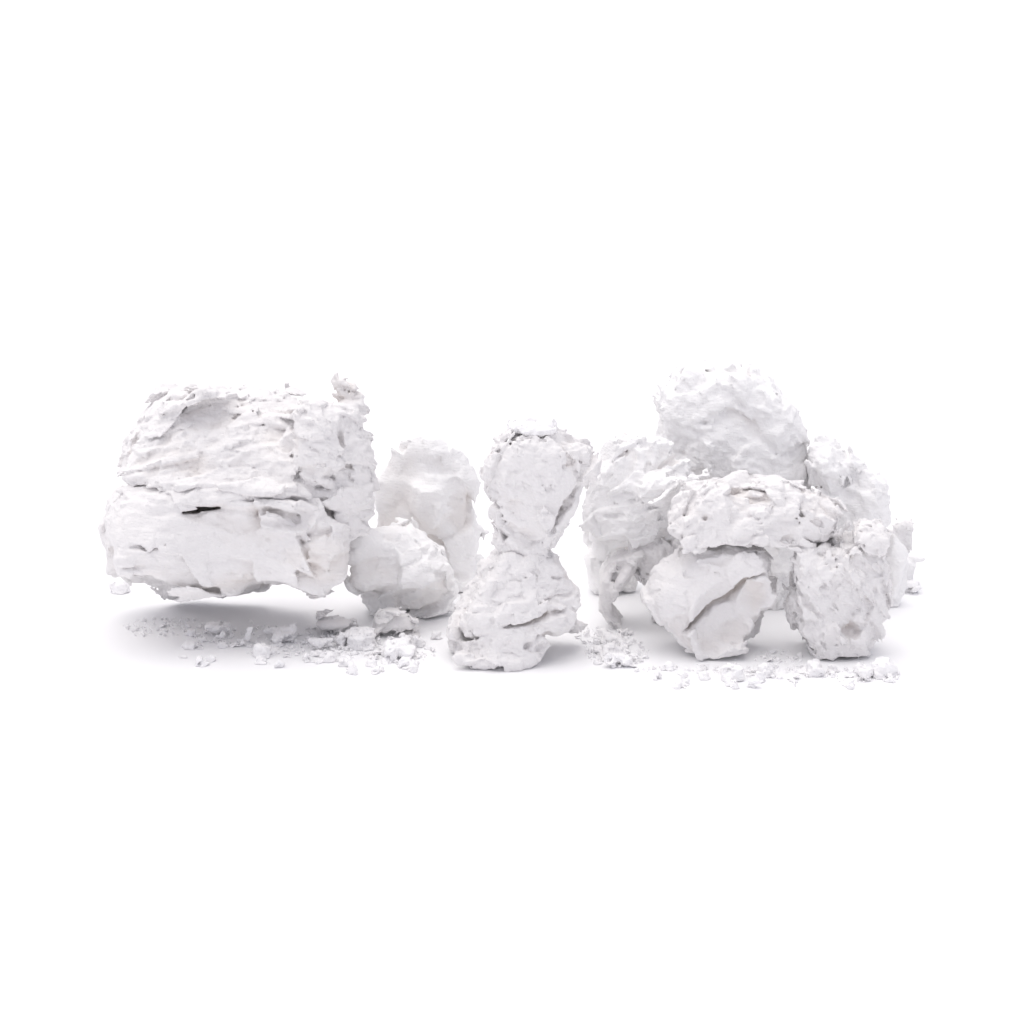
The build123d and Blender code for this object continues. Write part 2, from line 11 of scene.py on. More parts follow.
import bpy
import numpy as np
import openvdb
from mathutils import Euler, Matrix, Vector

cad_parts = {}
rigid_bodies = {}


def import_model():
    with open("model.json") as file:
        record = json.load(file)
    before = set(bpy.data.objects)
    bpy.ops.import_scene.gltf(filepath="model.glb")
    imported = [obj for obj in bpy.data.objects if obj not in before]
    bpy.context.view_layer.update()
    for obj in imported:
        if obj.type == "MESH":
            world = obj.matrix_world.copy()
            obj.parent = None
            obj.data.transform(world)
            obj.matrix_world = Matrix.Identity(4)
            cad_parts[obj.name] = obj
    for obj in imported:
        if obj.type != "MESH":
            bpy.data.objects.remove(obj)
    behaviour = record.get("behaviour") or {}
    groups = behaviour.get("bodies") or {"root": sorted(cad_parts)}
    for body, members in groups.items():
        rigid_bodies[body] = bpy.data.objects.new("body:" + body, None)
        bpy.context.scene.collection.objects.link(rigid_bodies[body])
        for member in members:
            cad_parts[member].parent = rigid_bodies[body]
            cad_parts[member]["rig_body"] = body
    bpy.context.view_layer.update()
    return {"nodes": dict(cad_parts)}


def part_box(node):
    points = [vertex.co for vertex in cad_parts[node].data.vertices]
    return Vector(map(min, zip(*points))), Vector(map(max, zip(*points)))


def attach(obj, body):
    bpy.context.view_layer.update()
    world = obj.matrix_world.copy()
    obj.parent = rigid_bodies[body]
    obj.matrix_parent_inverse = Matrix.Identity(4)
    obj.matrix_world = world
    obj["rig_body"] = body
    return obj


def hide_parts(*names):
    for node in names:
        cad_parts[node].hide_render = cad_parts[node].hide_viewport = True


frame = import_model()

MM = 0.001
COARSE = 1.0  # mm between samples of the CAD solids
PITCH_SCALE = 1.0
DEEPEST_BREAK = 4.6  # mm below a lump's surface that nothing breaks into
BREAK_ZONE = (-6.5, 2.0)  # mm from a lump's swollen surface, inside and outside, where breaks are worked out
ROOM = 4.5  # mm of empty space in the block round a lump

# ============================================================================ noise
LATTICE_SIZE = 64
LATTICE = np.random.default_rng(5).random((LATTICE_SIZE,) * 3, dtype=np.float32) * 2 - 1


def ease(t):
    """Turns a ramp from 0 to 1 into one with soft ends, and clips what lies outside it."""
    t = np.clip(t, 0, 1)
    return t * t * (3 - 2 * t)


def turned_axes(seed):
    """Three axes at a random turn, so that no two noises share the lattice's grain."""
    turn = Euler(np.random.default_rng(seed).random(3) * 2 * math.pi).to_matrix()
    return np.array(turn, np.float32)


def noise(place, size, seed):
    """Smooth noise from -1 to 1 at place (x, y, z in mm), with features of about the given size."""
    axes = turned_axes(seed)
    shift = np.random.default_rng(seed + 1000).random(3) * LATTICE_SIZE
    cells = []
    for axis, offset in zip(axes, shift):
        along = (axis[0] * place[0] + axis[1] * place[1] + axis[2] * place[2]) / np.float32(size)
        along = along + np.float32(offset)
        cell = np.floor(along)
        t = along - cell
        first = cell.astype(np.int32) & (LATTICE_SIZE - 1)
        cells.append((first, (first + 1) & (LATTICE_SIZE - 1), t * t * (3 - 2 * t)))
    (x0, x1, u), (y0, y1, v), (z0, z1, w) = cells

    def along_z(i, j):
        low = LATTICE[i, j, z0]
        return low + (LATTICE[i, j, z1] - low) * w

    near = along_z(x0, y0)
    near = near + (along_z(x0, y1) - near) * v
    far = along_z(x1, y0)
    far = far + (along_z(x1, y1) - far) * v
    return near + (far - near) * u


# Every cell of space has seven random facts: three for where its middle is, three for its slant, one for its
# height.
CELL_COUNT = 32
CELLS = np.random.default_rng(6).random((CELL_COUNT,) * 3 + (7,), dtype=np.float32) - 0.5


def shards(place, size, seed, flat=1.0):
    """Flat facets at random slants, each filling its own cell of space, from about -1 to 1.

    Cells are about size mm across, and flat times that along the third axis.
    """
    turn = turned_axes(seed) if flat == 1.0 else np.eye(3, dtype=np.float32)
    shift = np.random.default_rng(seed + 2000).random(3) * CELL_COUNT
    last = CELL_COUNT - 1
    along, first = [], []
    place = [p + 0.22 * size * noise(place, size * 0.7, seed + 3 * n) for n, p in enumerate(place)]
    for axis, offset, reach in zip(turn, shift, (size, size, size * flat)):
        line = (axis[0] * place[0] + axis[1] * place[1] + axis[2] * place[2]) / np.float32(reach)
        along.append(line + np.float32(offset))
        first.append(np.floor(along[-1] - 0.5).astype(np.int32))
    nearest = np.full(along[0].shape, 9, np.float32)
    value = np.zeros_like(nearest)
    for corner in range(8):
        cell = [f + (corner >> n & 1) for n, f in enumerate(first)]
        facts = CELLS[cell[0] & last, cell[1] & last, cell[2] & last]
        apart = [along[n] - cell[n] - 0.5 - 0.7 * facts[..., n] for n in range(3)]
        reach = apart[0] ** 2 + apart[1] ** 2 + apart[2] ** 2
        slope = apart[0] * facts[..., 3] + apart[1] * facts[..., 4] + apart[2] * facts[..., 5]
        value = np.where(reach < nearest, 1.5 * facts[..., 6] + 1.6 * slope, value)
        nearest = np.minimum(reach, nearest)
    return value


# ============================================================================ blocks of space
def resampled(values, start, step, wanted):
    """Values on a regular axis 0, read between samples at the wanted places."""
    at = np.clip((wanted - start) / step, 0, len(values) - 1.001)
    low = at.astype(np.int32)
    t = (at - low).astype(np.float32).reshape(-1, 1, 1)
    return values[low] * (1 - t) + values[low + 1] * t


def read_solid(node):
    """The corners, in mm, and triangles of one CAD solid."""
    mesh = frame["nodes"][node].data
    mesh.calc_loop_triangles()
    corners = np.empty(len(mesh.vertices) * 3, np.float32)
    mesh.vertices.foreach_get("co", corners)
    triangles = np.empty(len(mesh.loop_triangles) * 3, np.int32)
    mesh.loop_triangles.foreach_get("vertices", triangles)
    return corners.reshape(-1, 3) / np.float32(MM), triangles.reshape(-1, 3).astype(np.uint32)


def solids_distance(nodes, axes, reach=9.0, seal=0.5):
    """Signed distance, over the block with these axes, to CAD solids taken as one lump.

    The solids are joined a little swollen, so no seam is left where one stands on the next.
    """
    first = [int(math.floor(axis[0] / COARSE)) - 1 for axis in axes]
    last = [int(math.ceil(axis[-1] / COARSE)) + 2 for axis in axes]
    scale = openvdb.createLinearTransform(voxelSize=COARSE)

    def read(grid):
        block = np.zeros([b - a for a, b in zip(first, last)], np.float32)
        grid.copyToArray(block, ijk=tuple(first))
        return block

    block = None
    for node in nodes:
        corners, triangles = read_solid(node)
        one = read(openvdb.FloatGrid.createLevelSetFromPolygons(
            corners, triangles=triangles, transform=scale, halfWidth=reach / COARSE))
        block = one if block is None else np.minimum(block, one)
    if len(nodes) > 1:
        joined = openvdb.FloatGrid(reach)
        joined.copyFromArray(np.ascontiguousarray(block - np.float32(seal)), ijk=tuple(first))
        joined.transform = scale
        points, _, quads = joined.convertToPolygons(0.0, 0.0)
        sealed = openvdb.FloatGrid.createLevelSetFromPolygons(
            points, quads=quads.astype(np.uint32), transform=scale, halfWidth=reach / COARSE)
        block = read(sealed) + np.float32(seal)
    for n in range(3):
        block = np.moveaxis(resampled(np.moveaxis(block, n, 0), first[n] * COARSE, COARSE, axes[n]), 0, n)
    return block


def block_axes(nodes, pad, pitch):
    """The three axes, in mm, of a block of space round some CAD solids."""
    boxes = [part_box(name) for name in nodes]
    low = [min(box[0][n] for box in boxes) / MM - pad for n in range(3)]
    high = [max(box[1][n] for box in boxes) / MM + pad for n in range(3)]
    return [np.arange(a, b + pitch, pitch, dtype=np.float32) for a, b in zip(low, high)]


def spot(node, u, v, w):
    """The point, in mm, at these shares of a CAD solid's length, depth and height."""
    low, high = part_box(node)
    return tuple((low[n] + share * (high[n] - low[n])) / MM for n, share in enumerate((u, v, w)))


def ball(place, middle, sizes, turn=0.0, climb=0.0):
    """Rough signed distance to an ellipsoid with these half sizes.

    It is turned up to the right, and then up to the front, by degrees.
    """
    x, y, z = (p - np.float32(m) for p, m in zip(place, middle))
    c, s = math.cos(math.radians(climb)), math.sin(math.radians(climb))
    y, z = c * y - s * z, c * z + s * y
    c, s = math.cos(math.radians(turn)), math.sin(math.radians(turn))
    x, z = c * x + s * z, c * z - s * x
    reach = np.sqrt((x / sizes[0]) ** 2 + (y / sizes[1]) ** 2 + (z / sizes[2]) ** 2)
    return (reach - 1) * np.float32(min(sizes))


def soft_join(a, b, blend):
    """The union of two solids, with a soft fillet where they meet."""
    h = np.clip(0.5 + 0.5 * (b - a) / blend, 0, 1)
    return b + (a - b) * h - blend * h * (1 - h)


def soft_cut(a, b, blend):
    """Solid a without solid b, with soft edges."""
    return -soft_join(-a, b, blend)


def flat_cut(a, place, point, facing, blend):
    """Solid a without what lies beyond a flat break through point, which faces outwards."""
    length = math.sqrt(sum(f * f for f in facing))
    beyond = sum((p - np.float32(q)) * np.float32(f / length) for p, q, f in zip(place, point, facing))
    return -soft_join(-a, -beyond, blend)


# ============================================================================ how pressed chalk breaks
def bed_height(place, style, seed):
    """Distance up through the pressing layers, in mm.

    The layers dip to the right and climb to the front by degrees, bow down from a ridge, and undulate.
    """
    fall, climb = (math.tan(math.radians(angle)) for angle in style["tilt"])
    ridge, radius = style["bow"]
    length = math.sqrt(fall * fall + climb * climb + 1)
    height = (fall * place[0] + climb * place[1] + place[2]) / np.float32(length)
    height = height + (place[0] - ridge) ** 2 / np.float32(2 * radius)
    return height + style["bend"] * (noise(place, 15.0, seed + 1) + 0.3 * noise(place, 5.0, seed + 2))


LEAF_JUMP = 7.31  # mm that each leaf's outline is read further along the noise than the last leaf's


def leaf_steps(place, height, thickness, depth, spread, seed):
    """How far each leaf has broken back, from 0 to depth, and how near a point is to its leaf's top seam."""
    level = height / np.float32(thickness)
    leaf = np.floor(level)
    part = level - leaf
    turn = ease((part - 0.8) / 0.2)
    outline = []
    for number in (leaf, leaf + 1):
        jump = number * np.float32(LEAF_JUMP)
        elsewhere = (place[0] + jump * 3, place[1] - jump * 2, place[2] * 0.35 + jump)
        outline.append(noise(elsewhere, spread, seed))
    back = outline[0] + (outline[1] - outline[0]) * turn
    return depth * (0.5 + 0.62 * back), np.exp(-(((part - 0.9) / 0.1) ** 2))


def break_up(field, place, style, hollows, seed):
    """Breaks distances at places near a lump's surface into leaves, cracks, facets, hollows and grain."""
    height = bed_height(place, style, seed)
    bedded = (place[0], place[1], height)
    laid = 0.25 + 0.75 * ease(0.55 + 1.1 * noise(place, 17.0, seed + 4))
    for n, (thickness, depth, spread) in enumerate(style["leaves"]):
        back, seam = leaf_steps(place, height, thickness, depth, spread, seed + 11 * n + 3)
        opened = ease(0.35 + 1.6 * noise(place, spread * 1.3, seed + 11 * n + 5))
        field = field + laid * (back + style["cracks"] * depth * opened * seam)
    for n, (size, flat, depth) in enumerate(style["facets"]):
        field = field + depth * (0.4 + 0.6 * shards(bedded, size, seed + 61 + 5 * n, flat))
    for n, (size, depth) in enumerate(style["dents"]):
        field = field + depth * (0.4 + 0.6 * noise(place, size, seed + 31 + n))
    if hollows:
        torn = []
        for n, p in enumerate(place):
            wide, fine = noise(place, 4.0, seed + 41 + n), noise(place, 1.5, seed + 45 + n)
            torn.append(p + 0.8 * wide + 0.4 * fine)
        for middle, sizes, turn in hollows:
            field = soft_cut(field, ball(torn, middle, sizes, turn), 0.35)
    for n, (size, depth) in enumerate(style["grain"]):
        field = field + depth * noise(place, size, seed + 83 + n)
    return field


# How each kind of lump breaks. Its layers are tilted to the right and to the front, in degrees, bow down
# from a ridge at some x by a radius, and bend. Leaves have a thickness, the depth to which they break back,
# and the length of their torn edges. Facets have a size, a flatness and a depth, dents and grain a size and
# a depth. The lump swells first, so that its breaks come out at about its old surface. Lengths are in mm.
SLAB = {
    "tilt": (3.0, 5.0),
    "bow": (-45.0, 400.0),
    "bend": 1.6,
    "leaves": [(4.6, 1.3, 11.0), (1.7, 0.6, 6.0), (0.9, 0.3, 3.0)],
    "cracks": 0.15,
    "facets": [(12.0, 0.5, 1.5), (5.0, 0.5, 0.6), (1.7, 0.8, 0.22)],
    "dents": [(11.0, 1.6), (4.5, 0.8)],
    "grain": [(0.9, 0.14)],
    "swell": 1.1,
}
LEAFY = {
    "tilt": (-2.0, 6.0),
    "bow": (-44.0, 80.0),
    "bend": 1.7,
    "leaves": [(4.2, 1.9, 10.0), (1.5, 0.9, 5.0), (0.8, 0.4, 2.6)],
    "cracks": 0.45,
    "facets": [(9.0, 0.45, 1.8), (3.4, 0.35, 0.8), (1.4, 0.6, 0.3)],
    "dents": [(9.0, 1.0)],
    "grain": [(0.8, 0.2)],
    "swell": 1.3,
}
GRANULAR = {
    "tilt": (12.0, -5.0),
    "bow": (0.0, 400.0),
    "bend": 2.5,
    "leaves": [(3.2, 0.6, 7.0)],
    "cracks": 0.4,
    "facets": [(8.0, 1.0, 2.0), (3.2, 1.0, 0.8), (1.5, 1.0, 0.5)],
    "dents": [(6.0, 0.8)],
    "grain": [(0.8, 0.35)],
    "swell": 1.2,
}
SHEETED = {
    "tilt": (-8.0, 10.0),
    "bow": (0.0, 400.0),
    "bend": 1.8,
    "leaves": [(3.0, 1.3, 8.0), (1.2, 0.6, 4.0)],
    "cracks": 0.5,
    "facets": [(7.0, 0.5, 1.8), (2.8, 0.4, 0.8), (1.2, 0.8, 0.3)],
    "dents": [(7.0, 0.8)],
    "grain": [(0.8, 0.16)],
    "swell": 1.1,
}
CRUMPLED = {
    "tilt": (-6.0, 14.0),
    "bow": (42.0, 60.0),
    "bend": 2.2,
    "leaves": [(2.6, 0.9, 6.0)],
    "cracks": 0.4,
    "facets": [(6.5, 0.7, 2.1), (3.0, 0.5, 1.1), (1.3, 0.8, 0.35)],
    "dents": [(6.0, 1.0)],
    "grain": [(0.8, 0.14)],
    "swell": 1.1,
}
SMOOTH = {
    "tilt": (-6.0, 10.0),
    "bow": (0.0, 400.0),
    "bend": 2.0,
    "leaves": [(5.0, 0.6, 10.0)],
    "cracks": 0.4,
    "facets": [(9.0, 0.8, 1.7), (3.4, 0.7, 0.6), (1.3, 1.0, 0.2)],
    "dents": [(8.0, 1.0), (3.0, 0.5)],
    "grain": [(0.8, 0.12)],
    "swell": 0.8,
}
SHELL = {
    "tilt": (0.0, 0.0),
    "bow": (0.0, 400.0),
    "bend": 1.0,
    "leaves": [],
    "cracks": 0.0,
    "facets": [(5.0, 1.0, 0.7), (1.3, 1.0, 0.25)],
    "dents": [(5.0, 0.4)],
    "grain": [(0.8, 0.1)],
    "swell": 0.4,
}
FAR_BACK = {
    "tilt": (6.0, -5.0),
    "bow": (0.0, 400.0),
    "bend": 2.5,
    "leaves": [(5.0, 0.8, 10.0)],
    "cracks": 0.3,
    "facets": [(9.0, 1.0, 2.2), (3.6, 1.0, 0.8)],
    "dents": [(8.0, 1.4), (3.5, 0.6)],
    "grain": [(1.3, 0.2)],
    "swell": 1.0,
}
POROUS = {
    "tilt": (12.0, -5.0),
    "bow": (0.0, 400.0),
    "bend": 2.5,
    "leaves": [(3.2, 0.5, 7.0)],
    "cracks": 0.4,
    "facets": [(7.0, 1.0, 1.6), (3.0, 1.0, 1.4), (1.6, 1.0, 0.8)],
    "dents": [(3.5, 0.8)],
    "grain": [(0.8, 0.35)],
    "swell": 1.5,
}
FLAKE = {
    "tilt": (0.0, 0.0),
    "bow": (0.0, 400.0),
    "bend": 0.3,
    "leaves": [],
    "cracks": 0.0,
    "facets": [(2.4, 0.6, 0.8), (1.0, 0.7, 0.35)],
    "dents": [],
    "grain": [(0.6, 0.1)],
    "swell": 0.8,
}


def sheets(field, place, seed, thickness=0.9, gap=1.6, top=2.0):
    """What is left of a solid that lies on the surface as a few thin curled leaves, up to about top mm."""
    lean = np.random.default_rng(seed).uniform(-0.25, 0.25, 2)
    across = [p - np.float32((p.min() + p.max()) / 2) for p in place[:2]]
    height = place[2] + lean[0] * across[0] + lean[1] * across[1]
    height = height + 0.7 * noise(place, 6.0, seed + 1) + 0.35 * noise(place, 2.6, seed + 2)
    apart = np.abs(height / gap - np.round(height / gap)) * gap
    upright = (place[0], place[1], 0.2 * place[2])
    torn = field + 1.3 + 2.2 * noise(upright, 3.6, seed + 4) + 0.9 * noise(upright, 1.5, seed + 5)
    torn = np.maximum(torn, height - top)
    return np.maximum(torn, apart - thickness / 2 + 0.15 * noise(place, 1.5, seed + 3))


# ============================================================================ meshes
def without_specks(points, quads, fewest):
    """Drops what hangs together with fewer points than these. With None, only the largest piece stays."""
    label = np.arange(len(points))
    a, b = quads.ravel(), np.roll(quads, -1, axis=1).ravel()
    while True:
        least = np.minimum(label[a], label[b])
        fresh = label.copy()
        np.minimum.at(fresh, a, least)
        np.minimum.at(fresh, b, least)
        fresh = fresh[fresh]
        if np.array_equal(fresh, label):
            break
        label = fresh
    sizes = np.bincount(label)
    keep = sizes[label] >= (sizes.max() if fewest is None else fewest)
    number = np.cumsum(keep) - 1
    return points[keep], number[quads[keep[quads[:, 0]]]]


def outward(points, quads):
    """The faces in the order that makes them point outwards."""
    a, b, c = (points[quads[:, n]] for n in range(3))
    d = points[quads[:, 3]]
    volume = sum(np.einsum("ij,ij->i", a, np.cross(p, q)).sum() for p, q in ((b, c), (c, d)))
    return quads if volume > 0 else quads[:, ::-1]


def read_block(block, axes, points):
    """A block's values at points, read between its cells."""
    low, share = [], []
    for n, axis in enumerate(axes):
        at = np.clip((points[:, n] - axis[0]) / (axis[1] - axis[0]), 0, len(axis) - 1.001)
        low.append(at.astype(np.int32))
        share.append((at - low[n]).astype(np.float32))
    total = 0
    for corner in range(8):
        index, weight = [], 1
        for n in range(3):
            up = corner >> n & 1
            index.append(low[n] + up)
            weight = weight * (share[n] if up else 1 - share[n])
        total = total + weight * block[tuple(index)]
    return total


def quad_mesh(name, points, quads):
    """A smooth-shaded mesh from points in mm and four-cornered faces."""
    mesh = bpy.data.meshes.new(name)
    mesh.vertices.add(len(points))
    mesh.vertices.foreach_set("co", (points * MM).astype(np.float32).ravel())
    mesh.loops.add(quads.size)
    mesh.loops.foreach_set("vertex_index", quads.astype(np.int32).ravel())
    mesh.polygons.add(len(quads))
    mesh.polygons.foreach_set("loop_start", np.arange(0, quads.size, 4, dtype=np.int32))
    mesh.polygons.foreach_set("use_smooth", np.ones(len(quads), bool))
    mesh.update(calc_edges=True)
    return mesh


def new_piece(name, mesh, material):
    piece = bpy.data.objects.new(name, mesh)
    bpy.context.scene.collection.objects.link(piece)
    mesh.materials.append(material)
    return piece


def broken_piece(name, nodes, style, seed, pitch, shape=None, hollows=(), rest=None, fewest=None,
                 chalk=None):
    """Breaks the lump that some CAD solids make, and lets the result stand for them.

    shape(field, place) may add to the solids or cut them first, and hollows are cut while it breaks up.
    rest is the height in mm of a flat foot. Parts with fewer points than fewest are dropped, and with None
    all but the largest. The mesh remembers how deep each point lay below the lump's old surface, which the
    chalk turns into painted crevice shade.
    """
    pitch = pitch * PITCH_SCALE
    axes = block_axes(nodes, ROOM, pitch)
    field = solids_distance(nodes, axes)
    place = np.meshgrid(*axes, indexing="ij")
    if shape:
        field = shape(field, place)
    whole = field
    field = field - style["swell"]
    near = (field > BREAK_ZONE[0]) & (field < BREAK_ZONE[1])
    core = whole[near] + min(DEEPEST_BREAK, 0.6 * float(-whole.min()))
    broken = break_up(field[near], [p[near] for p in place], style, hollows, seed)
    field[near] = np.minimum(core, broken)
    if rest is not None:
        field = np.maximum(field, rest - place[2])
    grid = openvdb.FloatGrid(10.0)
    grid.copyFromArray(np.ascontiguousarray(field, np.float32))
    grid.transform = openvdb.createLinearTransform(voxelSize=pitch)
    points, _, quads = grid.convertToPolygons(0.0, 0.0)
    points = points + np.array([axis[0] for axis in axes], np.float32)
    points, quads = without_specks(points, quads.astype(np.int64), fewest)
    quads = outward(points, quads)
    mesh = quad_mesh(name, points, quads)
    # How deep each point lies below the old surface: the chalk paints warm, darker shade into crevices from
    # it.
    depth = mesh.attributes.new("depth", "FLOAT", "POINT")
    depth.data.foreach_set("value", np.maximum(-read_block(whole, axes, points), 0).astype(np.float32))
    piece = new_piece(name, mesh, chalk or front_shaded_chalk)
    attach(piece, frame["nodes"][nodes[0]]["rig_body"])
    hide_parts(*nodes)
    print(f"{name}: {2 * len(quads)} triangles")
    return piece


# ============================================================================ materials
def colour(code):
    """An sRGB hex colour as linear red, green, blue and alpha."""
    parts = [int(code[n : n + 2], 16) / 255 for n in (1, 3, 5)]
    return [p / 12.92 if p <= 0.04045 else ((p + 0.055) / 1.055) ** 2.4 for p in parts] + [1.0]


def add_node(tree, kind, values=None, **settings):
    """Adds a node with its settings. A value is a number or a colour, or the socket that feeds the input."""
    node = tree.nodes.new(kind)
    for key, value in settings.items():
        setattr(node, key, value)
    for key, value in (values or {}).items():
        if isinstance(value, bpy.types.NodeSocket):
            tree.links.new(value, node.inputs[key])
        else:
            node.inputs[key].default_value = value
    return node


def new_material(name):
    material = bpy.data.materials.new(name)
    material.use_nodes = True
    return material, material.node_tree, material.node_tree.nodes["Principled BSDF"]


# The powder is far too fine to show, so the breaks show its clumps and crushed fibres as coarse as they need
# to be seen at arm's length.
CLOUD_SIZE = 6.25  # mm across the blotches that shift the edge of the painted crevice shade
CLOUD_SHIFT = 2.2  # mm
CLUMPS_PER_MM = 2.4
FIBRES_PER_MM = (0.7, 0.7, 3.0)  # long across the bed, thin up through it
BUMP_HEIGHT = 0.3  # mm


def pressed_chalk(name, face, crevice_shade, shade_from, shade_to):
    """Magnesium carbonate, pressed dry and broken: nearly white and dead matt, with painted shade, warm and
    darker, where a break runs deep into a crevice.

    The first colour is its own at the old outside, the second the painted crevice shade far below it, which
    fades in from the first depth to the second, in mm below the old outside.
    """
    material, tree, shader = new_material(name)
    where = add_node(tree, "ShaderNodeTexCoord").outputs["Object"]
    # Painted shade: the colour turns warm and darker with depth below the old surface, where shade falls in
    # crevices.
    depth = add_node(tree, "ShaderNodeAttribute", attribute_name="depth").outputs["Fac"]
    cloud = add_node(tree, "ShaderNodeTexNoise", {
        "Vector": where, "Scale": 1 / (CLOUD_SIZE * MM), "Detail": 4.0})
    spread = add_node(tree, "ShaderNodeMath", {
        0: cloud.outputs["Fac"], 1: CLOUD_SHIFT}, operation="MULTIPLY")
    below = add_node(tree, "ShaderNodeMath", {0: depth, 1: spread.outputs[0]}, operation="ADD")
    share = add_node(tree, "ShaderNodeMapRange", {
        "Value": below.outputs[0], "From Min": shade_from, "From Max": shade_to})
    tone = add_node(tree, "ShaderNodeValToRGB", {"Fac": share.outputs[0]})
    tone.color_ramp.elements[0].color = colour(face)
    tone.color_ramp.elements[1].color = colour(crevice_shade)
    clump = add_node(tree, "ShaderNodeTexNoise", {
        "Vector": where, "Scale": CLUMPS_PER_MM / MM, "Detail": 3.0})
    fibre_place = add_node(tree, "ShaderNodeMapping", {
        "Vector": where, "Scale": [count / MM for count in FIBRES_PER_MM]})
    fibre = add_node(tree, "ShaderNodeTexNoise", {
        "Vector": fibre_place.outputs[0], "Scale": 1.0, "Detail": 2.0})
    both = add_node(tree, "ShaderNodeMath", {
        0: clump.outputs["Fac"], 1: fibre.outputs["Fac"]}, operation="ADD")
    bump = add_node(tree, "ShaderNodeBump", {
        "Height": both.outputs[0], "Strength": 0.6, "Distance": BUMP_HEIGHT * MM})
    tree.links.new(tone.outputs["Color"], shader.inputs["Base Color"])
    tree.links.new(bump.outputs["Normal"], shader.inputs["Normal"])
    shader.inputs["Roughness"].default_value = 0.95
    shader.inputs["Specular IOR Level"].default_value = 0.25
    return material


# Lit and shaded copies of one chalk: the front lumps get a darker face colour as painted shade, and the
# lumps at the back, with the prop under the large lump, a lighter one as painted light from behind the heap.
front_shaded_chalk = pressed_chalk("pressed_magnesium_carbonate", "#F1EFEF", "#DCD1C8", 2.4, 7.5)
back_lit_chalk = pressed_chalk("pressed_magnesium_carbonate_painted_backlight", "#FCFBFB", "#DED3CA", 2.4, 7.5)
# The crumbs' chalk is lighter, partly the flakes' own whiter colour and partly painted light that lifts the
# crumbs lying in the large lump's shade; its warm deep colour is faint painted crevice shade.
loose_chalk = pressed_chalk("flaked_magnesium_carbonate", "#FDFCFD", "#F2EEEC", 1.0, 4.0)


# ============================================================================ camera and light
def set_the_stage():
    scene = bpy.context.scene
    target = Vector((-0.0007, 0.0, 0.0224))
    distance, lift = 0.6, math.radians(15)
    lens = bpy.data.cameras.new("camera")
    lens.lens, lens.sensor_width = 117.2, 36.0
    camera = bpy.data.objects.new("camera", lens)
    camera.location = target + distance * Vector((0, -math.cos(lift), math.sin(lift)))
    camera.rotation_euler = (math.pi / 2 - lift, 0, 0)
    scene.collection.objects.link(camera)
    scene.camera = camera

    floor_mesh = bpy.data.meshes.new("floor")
    half = 4.0
    corners = [(-half, -half, 0), (half, -half, 0), (half, half, 0), (-half, half, 0)]
    floor_mesh.from_pydata(corners, [], [(0, 1, 2, 3)])
    material, tree, shader = new_material("white_card")
    shader.inputs["Base Color"].default_value = colour("#FBFBFC")
    shader.inputs["Roughness"].default_value = 0.9
    shader.inputs["Specular IOR Level"].default_value = 0.2
    new_piece("floor", floor_mesh, material)

    world = bpy.data.worlds.new("tent")
    world.use_nodes = True
    world.node_tree.nodes["Background"].inputs["Color"].default_value = colour("#F4F4FF")
    world.node_tree.nodes["Background"].inputs["Strength"].default_value = 0.62
    scene.world = world

    overhead = bpy.data.lights.new("overhead", "SUN")
    overhead.energy, overhead.angle = 2.2, math.radians(80)
    overhead.color = colour("#FFFBF6")[:3]
    lamp = bpy.data.objects.new("overhead", overhead)
    lamp.rotation_euler = Vector((-0.2, 0.05, 1.0)).to_track_quat("Z", "Y").to_euler()
    scene.collection.objects.link(lamp)
    scene.view_settings.view_transform = "Standard"
    scene.view_settings.look = "None"


set_the_stage()

# ============================================================================ lumps
# Each shape function works on a lump before it breaks up. Each list of hollows is cut while it breaks up:
# where a hollow's middle is, its half sizes in mm, and the degrees it is turned up to the right.
SLAB_SCALLOPS = [
    (spot("large_lump_base", 0.15, 0.14, 0.28), (9.5, 34.0, 4.6)),
    (spot("large_lump_base", 0.75, 0.14, 0.25), (5.8, 34.0, 3.6)),
    (spot("large_lump_base", 1.05, 0.14, 0.27), (3.4, 34.0, 2.8)),
]


def large_slab_shape(field, place):
    """The granular floor of the long crevice, the scallops under the slab, and its ends."""
    field = flat_cut(field, place, spot("large_lump_base", 0.05, 0.5, 0.43), (-1.0, -0.25, 0.0), 1.0)
    floor_right = ball(place, spot("large_lump_base", 0.62, 0.25, 0.92), (16.5, 7.6, 5.0), -9.0)
    floor_left = ball(place, spot("large_lump_base", 0.35, 0.27, 0.93), (11.0, 8.6, 4.0), -5.0)
    field = soft_join(soft_join(field, floor_right, 0.8), floor_left, 0.8)
    field = soft_join(field, ball(place, spot("large_lump_base", 0.93, 0.3, 0.76), (5.0, 7.5, 4.5)), 1.5)
    field = soft_join(field, ball(place, spot("large_lump_base", 0.94, 0.21, 0.56), (6.8, 8.0, 6.8)), 4.0)
    for middle, sizes in SLAB_SCALLOPS:
        field = soft_cut(field, ball(place, middle, sizes, 0.0, 15.0), 1.2)
    return field


SLAB_HOLLOWS = [
    (spot("large_lump_base", 0.78, 0.0, 0.9), (10.0, 2.2, 0.7), -7.0),
    (spot("large_lump_base", 0.42, -0.01, 0.67), (1.0, 1.4, 1.9), -50.0),
    (spot("large_lump_base", 0.25, 0.02, 0.7), (5.0, 1.2, 0.4), 4.0),
    (spot("large_lump_base", 0.29, 0.02, 0.57), (5.0, 1.2, 0.5), 0.0),
    (spot("large_lump_base", 0.24, 0.04, 0.94), (7.0, 1.8, 0.5), 3.0),
    (spot("large_lump_base", 1.04, 0.12, 0.84), (1.0, 1.6, 1.4), 0.0),
]


